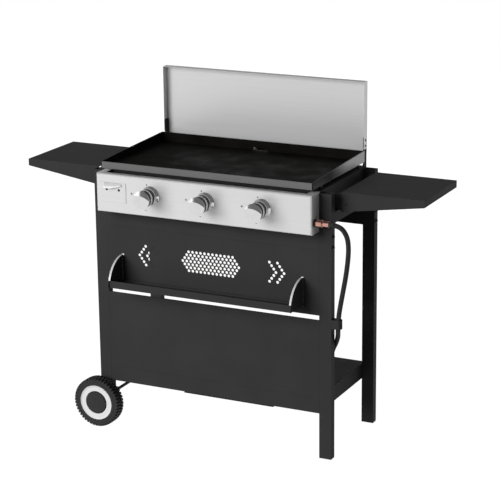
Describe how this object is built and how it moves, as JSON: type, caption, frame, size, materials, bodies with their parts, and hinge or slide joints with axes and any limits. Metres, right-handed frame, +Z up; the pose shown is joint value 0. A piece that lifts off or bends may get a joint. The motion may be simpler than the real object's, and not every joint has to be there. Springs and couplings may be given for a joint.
{
  "type": "gas griddle station",
  "caption": "Wheeled outdoor gas griddle station with a lift-off cooking plate, wind guard, burner knobs, folding side shelves, a spice shelf and a tray for the gas cylinder.",
  "frame": {"origin": "centre of the outline on the floor", "axes": "+X to the right of someone standing at the controls, +Y away from them, +Z up"},
  "size_m": [1.356, 0.5361, 1.1065],
  "materials": {
    "black_powder": "fine textured powder coat",
    "stainless": "brushed sideways",
    "cooking_plate": "seasoned rolled steel",
    "knob_chrome": "polished",
    "knob_plastic": "satin",
    "bright_steel": "zinc plated",
    "black_bolts": "black oxide",
    "burner_steel": "plain tube",
    "cup_steel": "galvanised sheet",
    "ceramic": "glazed",
    "brass": "machined",
    "black_rubber": "smooth",
    "regulator_grey": "die cast",
    "black_plastic": "moulded",
    "tyre": "moulded tread",
    "white_rim": "smooth",
    "hub_plastic": "smooth"
  },
  "bodies": {
    "cart": {"leg_front_right": "black_powder", "leg_rear_right": "black_powder", "leg_front_left": "black_powder", "leg_rear_left": "black_powder", "foot_caps": "black_rubber", "leg_bolts": "black_bolts", "front_rail": "black_powder", "rear_rail": "black_powder", "side_rail_right": "black_powder", "side_rail_left": "black_powder", "vent_panel": "black_powder", "lower_panel": "black_powder", "hinge_pins": "bright_steel", "bottom_shelf": "black_powder", "cylinder_tray": "black_powder", "burner_box": "black_powder", "control_panel": "stainless", "bottle_opener": "stainless", "sheet_screws": "bright_steel", "wind_guard": "stainless", "guard_bracket_right": "black_powder", "guard_bracket_left": "black_powder", "burners": "burner_steel", "electrodes": "ceramic", "gas_manifold": "burner_steel", "valves": "brass", "knob_bezels": "knob_chrome", "axle": "black_bolts", "axle_nuts": "bright_steel", "inlet_bush": "black_rubber", "inlet_fitting": "brass", "gas_hose": "black_rubber", "hose_coil": "black_rubber", "regulator": "regulator_grey", "hose_clip": "black_powder"},
    "griddle": {"griddle_plate": "cooking_plate", "griddle_feet": "black_bolts"},
    "grease_cup": {"grease_cup": "cup_steel"},
    "shelf_right": {"shelf_right": "black_powder"},
    "shelf_left": {"shelf_left": "black_powder"},
    "spice_rack": {"spice_shelf": "black_powder", "spice_end_right": "black_powder", "spice_end_left": "black_powder"},
    "wheel_front": {"tyre_front": "tyre", "wheel_rim_front": "white_rim", "hub_cap_front": "hub_plastic"},
    "wheel_rear": {"tyre_rear": "tyre", "wheel_rim_rear": "white_rim", "hub_cap_rear": "hub_plastic"},
    "regulator_nut": {"regulator_nut": "black_plastic"},
    "shaft_1": {"shaft_1": "bright_steel"},
    "knob_1": {"knob_1": "knob_plastic", "knob_cap_1": "knob_chrome"},
    "shaft_2": {"shaft_2": "bright_steel"},
    "knob_2": {"knob_2": "knob_plastic", "knob_cap_2": "knob_chrome"},
    "shaft_3": {"shaft_3": "bright_steel"},
    "knob_3": {"knob_3": "knob_plastic", "knob_cap_3": "knob_chrome"}
  },
  "joints": [
    {"name": "griddle_lift", "type": "slide", "parent": "cart", "child": "griddle", "axis": [0, 0, 1], "range_m": [0, 0.1]},
    {"name": "grease_cup_pull", "type": "slide", "parent": "cart", "child": "grease_cup", "axis": [0, 1, 0], "range_m": [0, 0.08]},
    {"name": "shelf_right_fold", "type": "hinge", "parent": "cart", "child": "shelf_right", "pos_m": [0.43, 0.0355, 0.8], "axis": [0, 1, 0], "range_deg": [0, 90]},
    {"name": "shelf_left_fold", "type": "hinge", "parent": "cart", "child": "shelf_left", "pos_m": [-0.43, 0.0355, 0.8], "axis": [0, -1, 0], "range_deg": [0, 90]},
    {"name": "spice_rack_fold", "type": "hinge", "parent": "cart", "child": "spice_rack", "pos_m": [0, -0.156, 0.4875], "axis": [-1, 0, 0], "range_deg": [0, 70]},
    {"name": "wheel_front_spin", "type": "hinge", "parent": "cart", "child": "wheel_front", "pos_m": [-0.395, -0.1855, 0.081], "axis": [0, 1, 0], "continuous": true},
    {"name": "wheel_rear_spin", "type": "hinge", "parent": "cart", "child": "wheel_rear", "pos_m": [-0.395, 0.2455, 0.081], "axis": [0, 1, 0], "continuous": true},
    {"name": "regulator_nut_spin", "type": "hinge", "parent": "cart", "child": "regulator_nut", "pos_m": [0.228, 0.062, 0.2218], "axis": [0, 1, 0], "continuous": true},
    {"name": "knob_1_push", "type": "slide", "parent": "cart", "child": "shaft_1", "axis": [0, 1, 0], "range_m": [0, 0.003], "stiffness_N_per_m": 2000},
    {"name": "knob_1_turn", "type": "hinge", "parent": "shaft_1", "child": "knob_1", "pos_m": [-0.1736, -0.25, 0.7895], "axis": [0, -1, 0], "range_deg": [0, 180]},
    {"name": "knob_2_push", "type": "slide", "parent": "cart", "child": "shaft_2", "axis": [0, 1, 0], "range_m": [0, 0.003], "stiffness_N_per_m": 2000},
    {"name": "knob_2_turn", "type": "hinge", "parent": "shaft_2", "child": "knob_2", "pos_m": [0.0149, -0.25, 0.7895], "axis": [0, -1, 0], "range_deg": [0, 180]},
    {"name": "knob_3_push", "type": "slide", "parent": "cart", "child": "shaft_3", "axis": [0, 1, 0], "range_m": [0, 0.003], "stiffness_N_per_m": 2000},
    {"name": "knob_3_turn", "type": "hinge", "parent": "shaft_3", "child": "knob_3", "pos_m": [0.2034, -0.25, 0.7895], "axis": [0, -1, 0], "range_deg": [0, 180]}
  ]
}
